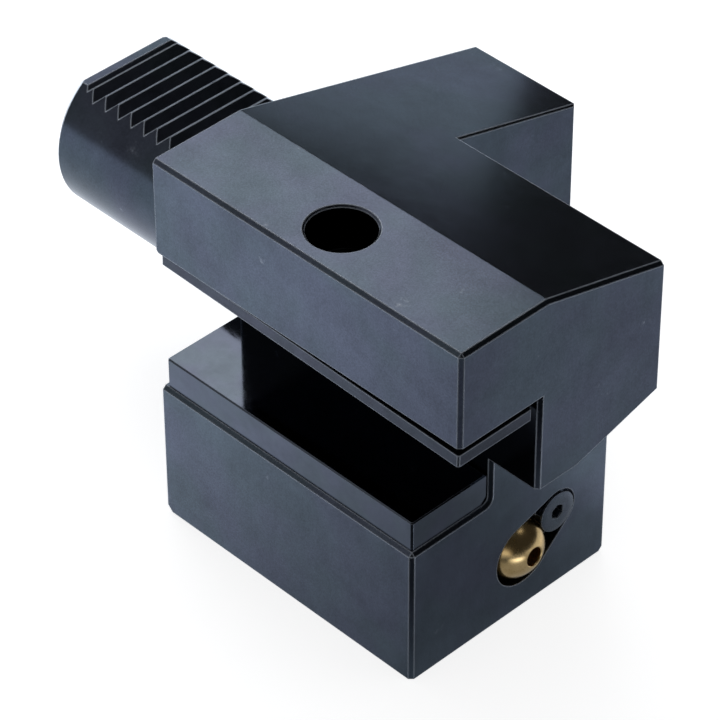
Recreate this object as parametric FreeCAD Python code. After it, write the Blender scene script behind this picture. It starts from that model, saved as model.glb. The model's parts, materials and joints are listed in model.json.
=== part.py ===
import FreeCAD, Part

import math
import os

from FreeCAD import Vector

# A cylindrical-shank turret tool holder for one square lathe tool, held parallel to the shank.
# Frame: X runs along the shank axis towards the head, Z is up, the tool slot opens towards minus Y.
# The origin lies where the shank axis meets the contact face of the flange. Sizes are millimetres.

# Driving sizes of the shank
SHANK_RADIUS = 20.0
SHANK_LENGTH = 63.0
SHANK_END_CHAMFER = 2.0
RACK_PLANE = 16.0
RACK_PITCH = 4.07
RACK_DEPTH = 1.9
RACK_TEETH = 9
RACK_FIRST_TIP = -57.6
RACK_LEAD_GROOVE = 1.85
RACK_CREST = 0.3
RACK_END_BEVEL = 1.6

# Driving sizes of the body
HEAD_LENGTH = 85.0
BLOCK_LENGTH = 72.5
FLANGE_LENGTH = 29.0
SIDE = 45.5
TOP = 45.5
BASE = -46.5
CREASE = -22.0
SLOPE = math.radians(15.0)
HEAD_RIGHT = 10.5
HEAD_UNDERSIDE = -1.3
UNDERSIDE_BREAK = -12.5
FLANGE_CORNER = 6.0
CHAMFER = 0.85
FINE_CHAMFER = 0.5
REAR_CHAMFER = 1.35
BASE_CHAMFER = 0.9

# Driving sizes of the tool slot, which takes a 25 mm square tool shank
SLOT_WALL = -23.5
LEDGE = -12.6
JAW_BOTTOM = 22.5
SLOT_FILLET = 1.5

# Support pad, its screws and its pins
PAD_TOP = -5.4
PAD_GAP = 0.3
PAD_REAR = 0.5
PAD_SETBACK = 1.0
PAD_EDGE = 0.3
PAD_CORNER = 0.45
PAD_SKIN = 1.2
PAD_MIDDLE = -34.4
PAD_SCREW_INSET = 14.25
PAD_PIN_INSET = 26.25
PAD_SCREW_RADIUS = 3.0
PAD_SCREW_CLEARANCE = 0.3
PAD_SCREW_HEAD = 5.0
PAD_SCREW_HEAD_HEIGHT = 6.0
PAD_SCREW_HEX = 5.0
PAD_SCREW_SOCKET = 3.0
PAD_PIN_RADIUS = 3.0
PIN_LENGTH = 14.0
PIN_SUNK = 9.1
COUNTERBORE_RADIUS = 5.5
COUNTERBORE_DEPTH = 16.0

# Clamp: plate, screw, wave washer and retaining ring
CLAMP_X = 41.8
CLAMP_Y = -34.3
PLATE_THICKNESS = 2.8
PLATE_TILT = 1.49
PLATE_START = 0.8
PLATE_END = 84.3
PLATE_SETBACK = 0.5
PLATE_WALL_GAP = 1.4
PLATE_CORNER = 0.4
PLATE_HANG = 0.1
PIVOT_HEIGHT = 23.2
BALL_TIP_RADIUS = 3.2
CUP_PLAY = 0.06
HUB_RADIUS = 4.6
HUB_TOP = 27.4
HUB_ROOT = 0.5
RETAINER_RISE = 2.2
RETAINER_BORE = 2.75
RETAINER_WALL = 0.7
RETAINER_THICKNESS = 1.0
RETAINER_SLIT = 1.6
WASHER_BORE = 2.6
WASHER_THICKNESS = 0.5
CLAMP_BORE = 7.2
BORE_BREAK = 0.5
CLAMP_SCREW_RADIUS = 7.12
CLAMP_SCREW_BOTTOM = 28.4
CLAMP_SCREW_TOP = 37.0
CLAMP_SCREW_BEVEL = 0.8
CLAMP_NECK = 2.2
CLAMP_HEX = 8.0
CLAMP_SOCKET = 5.5

# Coolant nozzle in the front face of the block
NOZZLE_Y = -13.3
NOZZLE_Z = -32.2
NOZZLE_POCKET = 7.85
BALL_RADIUS = 7.4
BALL_DEPTH = 4.25
BALL_BORE = 2.1
BALL_FUNNEL = 4.6
BALL_FUNNEL_DEPTH = 3.2
BALL_TILT = 4.0
BALL_PAN = -30.0
SEAT_LENGTH = 7.0
SEAT_BORE = 4.4
SEAT_BACK_GAP = 0.6
SEAL_WIDTH = 1.8

# Flat head screw that holds the ball
HOLD_Y = -3.9
HOLD_Z = -26.8
HOLD_POCKET = 5.25
HOLD_POCKET_DEPTH = 1.6
HOLD_NECK_DEPTH = 3.0
HOLD_HEAD = 4.7
HOLD_RIM = 0.4
HOLD_PROUD = 0.3
HOLD_RADIUS = 2.5
HOLD_LENGTH = 13.0
HOLD_HEX = 3.0
HOLD_SOCKET = 2.0

# Coolant channels, their plugs and the seals
CHANNEL_RADIUS = 4.0
BRANCH_RADIUS = 3.0
DRILL_OVERRUN = 1.0
CHANNEL_X = 16.0
INLET_Y = 20.0
PORT_RADIUS = 8.0
PORT_DEPTH = 1.7
PLUG_RADIUS = 6.5
PLUG_LENGTH = 9.0
PLUG_HEX = 6.0
PLUG_DEPTH = 1.0
SOCKET_DEPTH_SHARE = 0.6
SPARE_PORT_Y = -2.0
SPARE_PLUG_RADIUS = 4.0
SPARE_PLUG_LENGTH = 7.0
SPARE_PLUG_HEX = 4.0
SHANK_SEAL_X = -10.0
SHANK_SEAL_WIRE = 1.1
INLET_SEAL_WIRE = 0.9
SEAL_GROOVE = 2.6
SEAL_PLAY = 0.1

# Play between pieces that touch
THREAD_PLAY = 0.05
FIT_PLAY = 0.02
SEAT_PLAY = 0.03
REST_PLAY = 0.02
END_PLAY = 0.3

X_AXIS = Vector(1, 0, 0)
Y_AXIS = Vector(0, 1, 0)
Z_AXIS = Vector(0, 0, 1)


def box(low, high):
    """Block between two opposite corners."""
    size = [b - a for a, b in zip(low, high)]
    return Part.makeBox(*size, Vector(*low))


def rod(radius, length, start, axis):
    """Round bar from a start point along an axis."""
    return Part.makeCylinder(radius, length, Vector(*start), axis)


def cone(radius_1, radius_2, length, start, axis):
    """Tapered bar from a start point along an axis."""
    return Part.makeCone(radius_1, radius_2, length, Vector(*start), axis)


def ring(inner, outer, length, start, axis):
    """Flat ring from a start point along an axis."""
    return rod(outer, length, start, axis).cut(rod(inner, length, start, axis))


def slab(outline, length):
    """Prism along X from the flange face with an outline of (y, z) points."""
    points = [Vector(0, y, z) for y, z in outline]
    face = Part.Face(Part.makePolygon(points + points[:1]))
    return face.extrude(Vector(length, 0, 0))


def hexagon(width, length, start, axis):
    """Hexagonal bar of a given width across flats, for key sockets."""
    radius = width / math.sqrt(3)
    angles = [math.radians(60 * step) for step in range(6)]
    points = [Vector(radius * math.cos(a), radius * math.sin(a), 0) for a in angles]
    bar = Part.Face(Part.makePolygon(points + points[:1])).extrude(Vector(0, 0, length))
    bar.Placement = FreeCAD.Placement(Vector(*start), FreeCAD.Rotation(Z_AXIS, axis))
    return bar


def slope_height(y):
    """Height of the sloping top over a place across the body."""
    return TOP - (y - CREASE) * math.tan(SLOPE)


def straight_edges(shape, axis, test):
    """Straight edges along an axis, or along any axis for None, whose middle passes a test."""
    found = []
    for edge in shape.Edges:
        if not isinstance(edge.Curve, Part.Line):
            continue
        direction = edge.tangentAt(edge.FirstParameter)
        if axis is not None and abs(direction.dot(axis)) < 0.999:
            continue
        if test(edge.CenterOfMass):
            found.append(edge)
    return found


def near(value, target):
    """Whether a coordinate is at a target within a hundredth."""
    return abs(value - target) < 0.01


def body_blank():
    """Head, lower block and flange as one solid, with its ground edges chamfered."""
    underside_rise = (HEAD_RIGHT - UNDERSIDE_BREAK) * math.tan(SLOPE)
    head = slab([
        (-SIDE, TOP),
        (CREASE, TOP),
        (HEAD_RIGHT, slope_height(HEAD_RIGHT)),
        (HEAD_RIGHT, HEAD_UNDERSIDE + underside_rise),
        (UNDERSIDE_BREAK, HEAD_UNDERSIDE),
        (SLOT_WALL, HEAD_UNDERSIDE),
        (SLOT_WALL, JAW_BOTTOM),
        (-SIDE, JAW_BOTTOM),
    ], HEAD_LENGTH)
    block = slab([
        (SLOT_WALL, JAW_BOTTOM),
        (HEAD_RIGHT, JAW_BOTTOM),
        (HEAD_RIGHT, BASE),
        (-SIDE, BASE),
        (-SIDE, LEDGE),
        (SLOT_WALL, LEDGE),
    ], BLOCK_LENGTH)
    flange = slab([
        (SLOT_WALL, slope_height(0.0)),
        (0.0, slope_height(0.0)),
        (SIDE, slope_height(SIDE)),
        (SIDE, BASE + FLANGE_CORNER),
        (SIDE - FLANGE_CORNER, BASE),
        (SLOT_WALL, BASE),
    ], FLANGE_LENGTH)
    blank = head.fuse([block, flange]).removeSplitter()
    inner = straight_edges(blank, X_AXIS, lambda p: near(p.y, SLOT_WALL) and near(p.z, LEDGE))
    blank = blank.makeFillet(SLOT_FILLET, inner)
    blank = blank.makeChamfer(BASE_CHAMFER, straight_edges(blank, None, on_base))
    blank = blank.makeChamfer(REAR_CHAMFER, straight_edges(blank, Y_AXIS, on_rear))
    blank = blank.makeChamfer(FINE_CHAMFER, straight_edges(blank, Y_AXIS, on_jaw_rear))
    blank = blank.makeChamfer(CHAMFER, straight_edges(blank, None, on_front))
    return blank.makeChamfer(FINE_CHAMFER, straight_edges(blank, None, on_flange_front))


def on_base(point):
    """Whether an edge is the right edge of the block's underside, in front of the flange."""
    return near(point.z, BASE) and near(point.y, HEAD_RIGHT) and point.x > FLANGE_LENGTH


def on_rear(point):
    """Whether an edge across the body is the lower edge of its rear face."""
    return near(point.x, 0) and near(point.z, BASE)


def on_jaw_rear(point):
    """Whether an edge is the rear edge of the jaw's underside."""
    return near(point.x, 0) and near(point.z, JAW_BOTTOM)


def on_front(point):
    """Whether an edge belongs to the ground outline of the jaw, the slot wall or the block's tool side."""
    front = near(point.x, HEAD_LENGTH) and point.z > JAW_BOTTOM + CHAMFER
    wall_front = near(point.x, HEAD_LENGTH) and near(point.y, SLOT_WALL)
    tool_side = point.y < SLOT_WALL + CHAMFER and point.z > BASE + 2 * BASE_CHAMFER
    block_front = near(point.x, BLOCK_LENGTH) and tool_side
    top_left = near(point.y, -SIDE) and (near(point.z, TOP) or near(point.z, LEDGE))
    return front or wall_front or block_front or top_left


def on_flange_front(point):
    """Whether an edge lies on the step from the flange to the head."""
    return near(point.x, FLANGE_LENGTH) and point.y > HEAD_RIGHT + FINE_CHAMFER


def shank():
    """Round shank with the rack flat, its saw grooves and the seal groove."""
    start = -SHANK_LENGTH
    bar = rod(SHANK_RADIUS, SHANK_LENGTH - SHANK_END_CHAMFER, (start + SHANK_END_CHAMFER, 0, 0), X_AXIS)
    nose = SHANK_RADIUS - SHANK_END_CHAMFER
    bar = bar.fuse(cone(nose, SHANK_RADIUS, SHANK_END_CHAMFER, (start, 0, 0), X_AXIS))
    reach = SHANK_RADIUS + 1
    last_tip = RACK_FIRST_TIP + RACK_TEETH * RACK_PITCH
    bar = bar.cut(box((start - 1, -reach, RACK_PLANE), (last_tip, reach, reach)))
    outline = [(RACK_FIRST_TIP, RACK_PLANE)]
    for tooth in range(RACK_TEETH):
        root = RACK_FIRST_TIP + (tooth + 0.5) * RACK_PITCH
        tip = root + RACK_PITCH / 2
        outline.append((root, RACK_PLANE - RACK_DEPTH))
        outline.append((tip - RACK_CREST, RACK_PLANE))
        outline.append((tip, RACK_PLANE))
    outline += [(last_tip, RACK_PLANE + 1), (RACK_FIRST_TIP, RACK_PLANE + 1)]
    bar = bar.cut(groove_bar(outline, reach))
    bar = bar.cut(groove_bar([
        (start, RACK_PLANE - RACK_END_BEVEL),
        (start + RACK_END_BEVEL, RACK_PLANE),
        (start + RACK_END_BEVEL, RACK_PLANE + 1),
        (start, RACK_PLANE + 1),
    ], reach))
    lead = RACK_FIRST_TIP - RACK_LEAD_GROOVE
    middle = RACK_FIRST_TIP - RACK_LEAD_GROOVE / 2
    depth = RACK_DEPTH * RACK_LEAD_GROOVE / RACK_PITCH
    bar = bar.cut(groove_bar([
        (lead, RACK_PLANE),
        (middle, RACK_PLANE - depth),
        (RACK_FIRST_TIP, RACK_PLANE),
        (RACK_FIRST_TIP, RACK_PLANE + 1),
        (lead, RACK_PLANE + 1),
    ], reach))
    groove_bottom = SHANK_RADIUS - 2 * SHANK_SEAL_WIRE - FIT_PLAY
    groove_start = SHANK_SEAL_X - SEAL_GROOVE / 2
    return bar.cut(ring(groove_bottom, reach, SEAL_GROOVE, (groove_start, 0, 0), X_AXIS))


def groove_bar(outline, reach):
    """Cutter across the shank with an outline of (x, z) points."""
    points = [Vector(x, -reach, z) for x, z in outline]
    face = Part.Face(Part.makePolygon(points + points[:1]))
    return face.extrude(Vector(0, 2 * reach, 0))


def coolant_cuts():
    """Drilled channels, plug holes, the inlet port and the nozzle pocket."""
    inlet = (0, INLET_Y, NOZZLE_Z)
    side = (CHANNEL_X, SIDE, NOZZLE_Z)
    bottom = (CHANNEL_X, 0, BASE)
    rear = (-SHANK_LENGTH, 0, 0)
    spare = (0, SPARE_PORT_Y, NOZZLE_Z)
    pocket_depth = BALL_DEPTH + SEAT_LENGTH + SEAL_WIDTH
    nozzle = (BLOCK_LENGTH, NOZZLE_Y, NOZZLE_Z)
    plug_hole = PLUG_RADIUS + THREAD_PLAY
    plug_depth = PLUG_LENGTH + PLUG_DEPTH
    past_branch = BRANCH_RADIUS + DRILL_OVERRUN
    return [
        rod(CHANNEL_RADIUS, SIDE - NOZZLE_Y + past_branch, side, -Y_AXIS),
        rod(CHANNEL_RADIUS, SHANK_LENGTH + CHANNEL_X + past_branch, rear, X_AXIS),
        rod(BRANCH_RADIUS, CHANNEL_X, inlet, X_AXIS),
        rod(BRANCH_RADIUS, -BASE, bottom, Z_AXIS),
        rod(BRANCH_RADIUS, BLOCK_LENGTH - CHANNEL_X, nozzle, -X_AXIS),
        rod(PORT_RADIUS, PORT_DEPTH, inlet, X_AXIS),
        rod(NOZZLE_POCKET, pocket_depth, nozzle, -X_AXIS),
        rod(plug_hole, plug_depth, side, -Y_AXIS),
        rod(plug_hole, plug_depth, bottom, Z_AXIS),
        rod(plug_hole, plug_depth, rear, X_AXIS),
        rod(BRANCH_RADIUS, CHANNEL_X, spare, X_AXIS),
        rod(SPARE_PLUG_RADIUS + THREAD_PLAY, SPARE_PLUG_LENGTH + PLUG_DEPTH, spare, X_AXIS),
    ]


def end_places(inset):
    """Two places along the block, one this far from each of its ends."""
    return (inset, BLOCK_LENGTH - inset)


def neck_cut():
    """Milled neck with straight sides that joins the ball's pocket to the screw's recess."""
    across = Vector(0, HOLD_Y - NOZZLE_Y, HOLD_Z - NOZZLE_Z)
    spread = math.asin((NOZZLE_POCKET - HOLD_POCKET) / across.Length)
    heading = math.atan2(across.z, across.y)
    outline = []
    for y, z, radius in ((NOZZLE_Y, NOZZLE_Z, NOZZLE_POCKET), (HOLD_Y, HOLD_Z, HOLD_POCKET)):
        for side in (1, -1):
            angle = heading + side * (math.pi / 2 - spread)
            outline.append((y + radius * math.cos(angle), z + radius * math.sin(angle)))
    order = (outline[0], outline[2], outline[3], outline[1])
    neck = slab(order, HOLD_NECK_DEPTH)
    neck.translate(Vector(BLOCK_LENGTH - HOLD_NECK_DEPTH, 0, 0))
    screw_seat = rod(HOLD_HEAD + THREAD_PLAY, HOLD_NECK_DEPTH, (BLOCK_LENGTH, HOLD_Y, HOLD_Z), -X_AXIS)
    return neck.cut(screw_seat)


def screw_cuts():
    """Holes for the clamp screw, the pad screws and pins and the ball's screw."""
    break_start = (CLAMP_X, CLAMP_Y, TOP - BORE_BREAK)
    rim = cone(CLAMP_BORE, CLAMP_BORE + BORE_BREAK, BORE_BREAK, break_start, Z_AXIS)
    cuts = [rod(CLAMP_BORE, TOP - JAW_BOTTOM, (CLAMP_X, CLAMP_Y, JAW_BOTTOM), Z_AXIS), rim]
    for x in end_places(PAD_SCREW_INSET):
        cuts.append(rod(COUNTERBORE_RADIUS, COUNTERBORE_DEPTH, (x, PAD_MIDDLE, BASE), Z_AXIS))
        cuts.append(rod(PAD_SCREW_RADIUS + PAD_SCREW_CLEARANCE, LEDGE - BASE, (x, PAD_MIDDLE, BASE), Z_AXIS))
    low = LEDGE - PIN_SUNK - DRILL_OVERRUN
    for x in end_places(PAD_PIN_INSET):
        cuts.append(rod(PAD_PIN_RADIUS + FIT_PLAY, LEDGE - low, (x, PAD_MIDDLE, low), Z_AXIS))
    face = (BLOCK_LENGTH, HOLD_Y, HOLD_Z)
    seat = (hold_seat_x(), HOLD_Y, HOLD_Z)
    wide = HOLD_HEAD + THREAD_PLAY
    cuts.append(rod(HOLD_POCKET, HOLD_POCKET_DEPTH, face, -X_AXIS))
    cuts.append(rod(HOLD_RADIUS + THREAD_PLAY, HOLD_LENGTH + DRILL_OVERRUN, face, -X_AXIS))
    cuts.append(cone(wide, HOLD_RADIUS, wide - HOLD_RADIUS, seat, -X_AXIS))
    cuts.append(neck_cut())
    return cuts


def hold_seat_x():
    """Where the conical part of the flat head begins."""
    return BLOCK_LENGTH + HOLD_PROUD - HOLD_RIM


def holder_body():
    """The whole holder body, shank and head in one piece."""
    body = body_blank().fuse(shank()).removeSplitter()
    for cutter in coolant_cuts() + screw_cuts():
        body = body.cut(cutter)
    return body


def support_pad():
    """Hardened rest for the tool, screwed from below and located by two pins."""
    low = (PAD_REAR, -SIDE + PAD_SETBACK, LEDGE + REST_PLAY)
    high = (BLOCK_LENGTH - PAD_SETBACK, SLOT_WALL - PAD_GAP, PAD_TOP)
    pad = box(low, high)
    corner = straight_edges(pad, X_AXIS, lambda p: near(p.y, high[1]) and near(p.z, low[2]))
    pad = pad.makeChamfer(SLOT_FILLET, corner)
    pad = pad.makeChamfer(PAD_CORNER, straight_edges(pad, Z_AXIS, lambda p: near(p.y, low[1])))
    pad = pad.makeChamfer(PAD_EDGE, straight_edges(pad, None, lambda p: near(p.z, PAD_TOP)))
    thread_depth = PAD_TOP - PAD_SKIN - LEDGE
    pin_depth = PIN_LENGTH - PIN_SUNK + END_PLAY
    for x in end_places(PAD_SCREW_INSET):
        pad = pad.cut(rod(PAD_SCREW_RADIUS + THREAD_PLAY, thread_depth, (x, PAD_MIDDLE, LEDGE), Z_AXIS))
    for x in end_places(PAD_PIN_INSET):
        pad = pad.cut(rod(PAD_PIN_RADIUS + FIT_PLAY, pin_depth, (x, PAD_MIDDLE, LEDGE), Z_AXIS))
    return pad


def cap_screw(x):
    """Socket head cap screw that holds the pad, driven from the base."""
    shoulder = BASE + COUNTERBORE_DEPTH - REST_PLAY
    low = shoulder - PAD_SCREW_HEAD_HEIGHT
    place = (x, PAD_MIDDLE, low)
    head = rod(PAD_SCREW_HEAD, PAD_SCREW_HEAD_HEIGHT, place, Z_AXIS)
    stem = rod(PAD_SCREW_RADIUS, PAD_TOP - PAD_SKIN - END_PLAY - low, place, Z_AXIS)
    return head.fuse(stem).cut(hexagon(PAD_SCREW_HEX, PAD_SCREW_SOCKET, place, Z_AXIS))


def dowel(x):
    """Ground pin that locates the pad on the ledge."""
    return rod(PAD_PIN_RADIUS, PIN_LENGTH, (x, PAD_MIDDLE, LEDGE - PIN_SUNK), Z_AXIS)


def tilt(shape):
    """Turns a piece of the clamp plate about the ball tip, its front end hanging low."""
    turned = shape.copy()
    turned.rotate(Vector(CLAMP_X, CLAMP_Y, PIVOT_HEIGHT), Y_AXIS, PLATE_TILT)
    return turned


def plate_top():
    """Height of the level plate's top, so that its rear end hangs just under the jaw."""
    drop = (CLAMP_X - PLATE_START) * math.tan(math.radians(PLATE_TILT))
    return JAW_BOTTOM - PLATE_HANG - drop


def clamp_plate():
    """Clamp plate with the hub that holds the ball tip of the clamp screw."""
    top = plate_top()
    low = (PLATE_START, -SIDE + PLATE_SETBACK, top - PLATE_THICKNESS)
    high = (PLATE_END, SLOT_WALL - PLATE_WALL_GAP, top)
    plate = box(low, high)
    plate = plate.makeChamfer(PLATE_CORNER, straight_edges(plate, Z_AXIS, lambda p: True))
    centre = (CLAMP_X, CLAMP_Y, PIVOT_HEIGHT)
    hub_base = (CLAMP_X, CLAMP_Y, top - HUB_ROOT)
    plate = plate.fuse(rod(HUB_RADIUS, HUB_TOP - top + HUB_ROOT, hub_base, Z_AXIS))
    cup = BALL_TIP_RADIUS + CUP_PLAY
    plate = plate.cut(Part.makeSphere(cup, Vector(*centre)))
    plate = plate.cut(rod(cup, HUB_TOP - PIVOT_HEIGHT, centre, Z_AXIS))
    groove = (CLAMP_X, CLAMP_Y, PIVOT_HEIGHT + RETAINER_RISE - THREAD_PLAY)
    groove_width = RETAINER_THICKNESS + 2 * THREAD_PLAY
    plate = plate.cut(rod(HUB_RADIUS - RETAINER_WALL + THREAD_PLAY, groove_width, groove, Z_AXIS))
    return tilt(plate)


def retaining_ring():
    """Split ring in the hub that keeps the ball tip in its cup."""
    low = PIVOT_HEIGHT + RETAINER_RISE
    high = low + RETAINER_THICKNESS
    outer = HUB_RADIUS - RETAINER_WALL
    hoop = ring(RETAINER_BORE, outer, RETAINER_THICKNESS, (CLAMP_X, CLAMP_Y, low), Z_AXIS)
    half_slit = RETAINER_SLIT / 2
    slit = box((CLAMP_X, CLAMP_Y - half_slit, low), (CLAMP_X + HUB_RADIUS, CLAMP_Y + half_slit, high))
    return tilt(hoop.cut(slit))


def wave_washer():
    """Thin spring washer between the hub and the shoulder of the clamp screw."""
    low = CLAMP_SCREW_BOTTOM - THREAD_PLAY - WASHER_THICKNESS
    return ring(WASHER_BORE, HUB_RADIUS, WASHER_THICKNESS, (CLAMP_X, CLAMP_Y, low), Z_AXIS)


def clamp_screw():
    """Threaded clamp screw with a key socket above and a ball tip below."""
    centre = Vector(CLAMP_X, CLAMP_Y, PIVOT_HEIGHT)
    start = (CLAMP_X, CLAMP_Y, CLAMP_SCREW_BOTTOM)
    screw = rod(CLAMP_SCREW_RADIUS, CLAMP_SCREW_TOP - CLAMP_SCREW_BOTTOM, start, Z_AXIS)
    rims = [e for e in screw.Edges if isinstance(e.Curve, Part.Circle)]
    screw = screw.makeChamfer(CLAMP_SCREW_BEVEL, rims)
    neck_length = CLAMP_SCREW_BOTTOM + CLAMP_SCREW_BEVEL - PIVOT_HEIGHT
    neck = rod(CLAMP_NECK, neck_length, (CLAMP_X, CLAMP_Y, PIVOT_HEIGHT), Z_AXIS)
    screw = screw.fuse([neck, Part.makeSphere(BALL_TIP_RADIUS, centre)])
    socket = (CLAMP_X, CLAMP_Y, CLAMP_SCREW_TOP - CLAMP_SOCKET)
    return screw.cut(hexagon(CLAMP_HEX, CLAMP_SOCKET, socket, Z_AXIS))


def ball_centre():
    """Centre of the nozzle ball."""
    return Vector(BLOCK_LENGTH - BALL_DEPTH, NOZZLE_Y, NOZZLE_Z)


def jet_direction():
    """Unit vector along the nozzle bore as it is set."""
    tilt_angle = math.radians(BALL_TILT)
    pan = math.radians(BALL_PAN)
    side = math.sin(tilt_angle)
    return Vector(math.cos(tilt_angle), -side * math.sin(pan), side * math.cos(pan))


def ball_nozzle():
    """Drilled ball that aims the coolant jet."""
    jet = jet_direction()
    centre = ball_centre()
    ball = Part.makeSphere(BALL_RADIUS, centre)
    reach = BALL_RADIUS + 1
    ball = ball.cut(Part.makeCylinder(BALL_BORE, 2 * reach, centre - jet * reach, jet))
    funnel = Part.makeCone(BALL_FUNNEL, BALL_BORE, BALL_FUNNEL_DEPTH, centre - jet * BALL_RADIUS, jet)
    return ball.cut(funnel)


def nozzle_seat():
    """Seat ring that the ball swivels in."""
    rear = BLOCK_LENGTH - BALL_DEPTH - SEAT_LENGTH
    place = (rear, NOZZLE_Y, NOZZLE_Z)
    seat = ring(SEAT_BORE, NOZZLE_POCKET - SEAT_PLAY, SEAT_LENGTH - SEAT_BACK_GAP, place, X_AXIS)
    return seat.cut(Part.makeSphere(BALL_RADIUS + SEAT_PLAY, ball_centre()))


def nozzle_seal():
    """Seal ring behind the seat."""
    wire = SEAL_WIDTH / 2 - REST_PLAY
    place = Vector(BLOCK_LENGTH - BALL_DEPTH - SEAT_LENGTH - SEAL_WIDTH / 2, NOZZLE_Y, NOZZLE_Z)
    return Part.makeTorus(NOZZLE_POCKET - wire - SEAL_PLAY, wire, place, X_AXIS)


def nozzle_screw():
    """Flat head screw whose rim holds the ball in its pocket."""
    face = (BLOCK_LENGTH + HOLD_PROUD, HOLD_Y, HOLD_Z)
    seat = (hold_seat_x(), HOLD_Y, HOLD_Z)
    taper = HOLD_HEAD - HOLD_RADIUS
    head = rod(HOLD_HEAD, HOLD_RIM, face, -X_AXIS)
    under = cone(HOLD_HEAD, HOLD_RADIUS, taper, seat, -X_AXIS)
    stem = rod(HOLD_RADIUS, HOLD_LENGTH, face, -X_AXIS)
    return head.fuse([under, stem]).cut(hexagon(HOLD_HEX, HOLD_SOCKET, face, -X_AXIS))


def plug(start, axis, radius=PLUG_RADIUS, length=PLUG_LENGTH, key=PLUG_HEX):
    """Headless channel plug with a key socket, sunk a little below its face."""
    inside = tuple(s + PLUG_DEPTH * a for s, a in zip(start, axis))
    bar = rod(radius, length, inside, axis)
    return bar.cut(hexagon(key, key * SOCKET_DEPTH_SHARE, inside, axis))


def shank_seal():
    """Seal ring in the groove of the shank."""
    middle = SHANK_RADIUS - SHANK_SEAL_WIRE
    return Part.makeTorus(middle, SHANK_SEAL_WIRE, Vector(SHANK_SEAL_X, 0, 0), X_AXIS)


def inlet_seal():
    """Seal ring in the coolant port of the flange."""
    place = Vector(PORT_DEPTH - INLET_SEAL_WIRE - REST_PLAY, INLET_Y, NOZZLE_Z)
    return Part.makeTorus(PORT_RADIUS - INLET_SEAL_WIRE - SEAL_PLAY, INLET_SEAL_WIRE, place, X_AXIS)


PIECES = {
    "holder_body": holder_body(),
    "support_pad": support_pad(),
    "pad_screw_rear": cap_screw(end_places(PAD_SCREW_INSET)[0]),
    "pad_screw_front": cap_screw(end_places(PAD_SCREW_INSET)[1]),
    "pad_pin_rear": dowel(end_places(PAD_PIN_INSET)[0]),
    "pad_pin_front": dowel(end_places(PAD_PIN_INSET)[1]),
    "clamp_plate": clamp_plate(),
    "retaining_ring": retaining_ring(),
    "wave_washer": wave_washer(),
    "clamp_screw": clamp_screw(),
    "ball_nozzle": ball_nozzle(),
    "nozzle_seat": nozzle_seat(),
    "nozzle_seal": nozzle_seal(),
    "nozzle_screw": nozzle_screw(),
    "shank_seal": shank_seal(),
    "inlet_seal": inlet_seal(),
    "side_plug": plug((CHANNEL_X, SIDE, NOZZLE_Z), -Y_AXIS),
    "bottom_plug": plug((CHANNEL_X, 0, BASE), Z_AXIS),
    "shank_plug": plug((-SHANK_LENGTH, 0, 0), X_AXIS),
    "spare_port_plug": plug(
        (0, SPARE_PORT_Y, NOZZLE_Z), X_AXIS, SPARE_PLUG_RADIUS, SPARE_PLUG_LENGTH, SPARE_PLUG_HEX),
}

os.makedirs("parts", exist_ok=True)
for name, shape in PIECES.items():
    shape.exportStep("parts/" + name + ".step")
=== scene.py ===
"""A turret tool holder for a square lathe tool, dressed for a studio picture.

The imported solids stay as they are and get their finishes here. Screws, plugs, the nozzle ball and the
spring washer are worked out again as turned, threaded and knurled surfaces. All lengths are metres.
"""

import json
import logging
import math
from collections.abc import Mapping
from dataclasses import dataclass
from enum import Enum

import bpy
import numpy as np
from mathutils import Matrix, Vector

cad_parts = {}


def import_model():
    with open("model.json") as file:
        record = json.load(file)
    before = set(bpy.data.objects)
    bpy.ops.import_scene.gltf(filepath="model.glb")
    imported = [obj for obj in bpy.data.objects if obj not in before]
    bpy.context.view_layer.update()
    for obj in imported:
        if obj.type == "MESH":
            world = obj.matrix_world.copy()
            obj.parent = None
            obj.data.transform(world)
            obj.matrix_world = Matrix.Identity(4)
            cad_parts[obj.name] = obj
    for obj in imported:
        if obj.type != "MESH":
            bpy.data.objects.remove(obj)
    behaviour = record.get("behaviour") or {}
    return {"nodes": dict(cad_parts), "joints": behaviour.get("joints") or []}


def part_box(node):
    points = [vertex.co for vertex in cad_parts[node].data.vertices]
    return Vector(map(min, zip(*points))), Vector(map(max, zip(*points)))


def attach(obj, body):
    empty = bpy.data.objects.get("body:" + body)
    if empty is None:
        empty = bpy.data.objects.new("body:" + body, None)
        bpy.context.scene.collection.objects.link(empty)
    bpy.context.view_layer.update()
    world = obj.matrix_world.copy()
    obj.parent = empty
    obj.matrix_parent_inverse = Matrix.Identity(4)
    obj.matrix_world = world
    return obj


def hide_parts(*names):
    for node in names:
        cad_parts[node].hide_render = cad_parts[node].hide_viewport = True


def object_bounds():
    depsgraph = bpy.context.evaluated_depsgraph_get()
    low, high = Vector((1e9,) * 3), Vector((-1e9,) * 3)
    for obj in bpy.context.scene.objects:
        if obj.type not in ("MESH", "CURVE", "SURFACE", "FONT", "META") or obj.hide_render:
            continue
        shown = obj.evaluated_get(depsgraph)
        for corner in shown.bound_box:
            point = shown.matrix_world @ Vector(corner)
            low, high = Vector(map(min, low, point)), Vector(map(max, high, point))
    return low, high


frame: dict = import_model()
CAD_BOUNDS: tuple[Vector, Vector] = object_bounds()
MM: float = 0.001
CAMERA_AIM: Vector = Vector((30.6, -18.7, -3.1)) * MM

Span = tuple[float, float]
Triple = tuple[float, float, float]
Colour = Triple
log = logging.getLogger("turret_holder")


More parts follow.
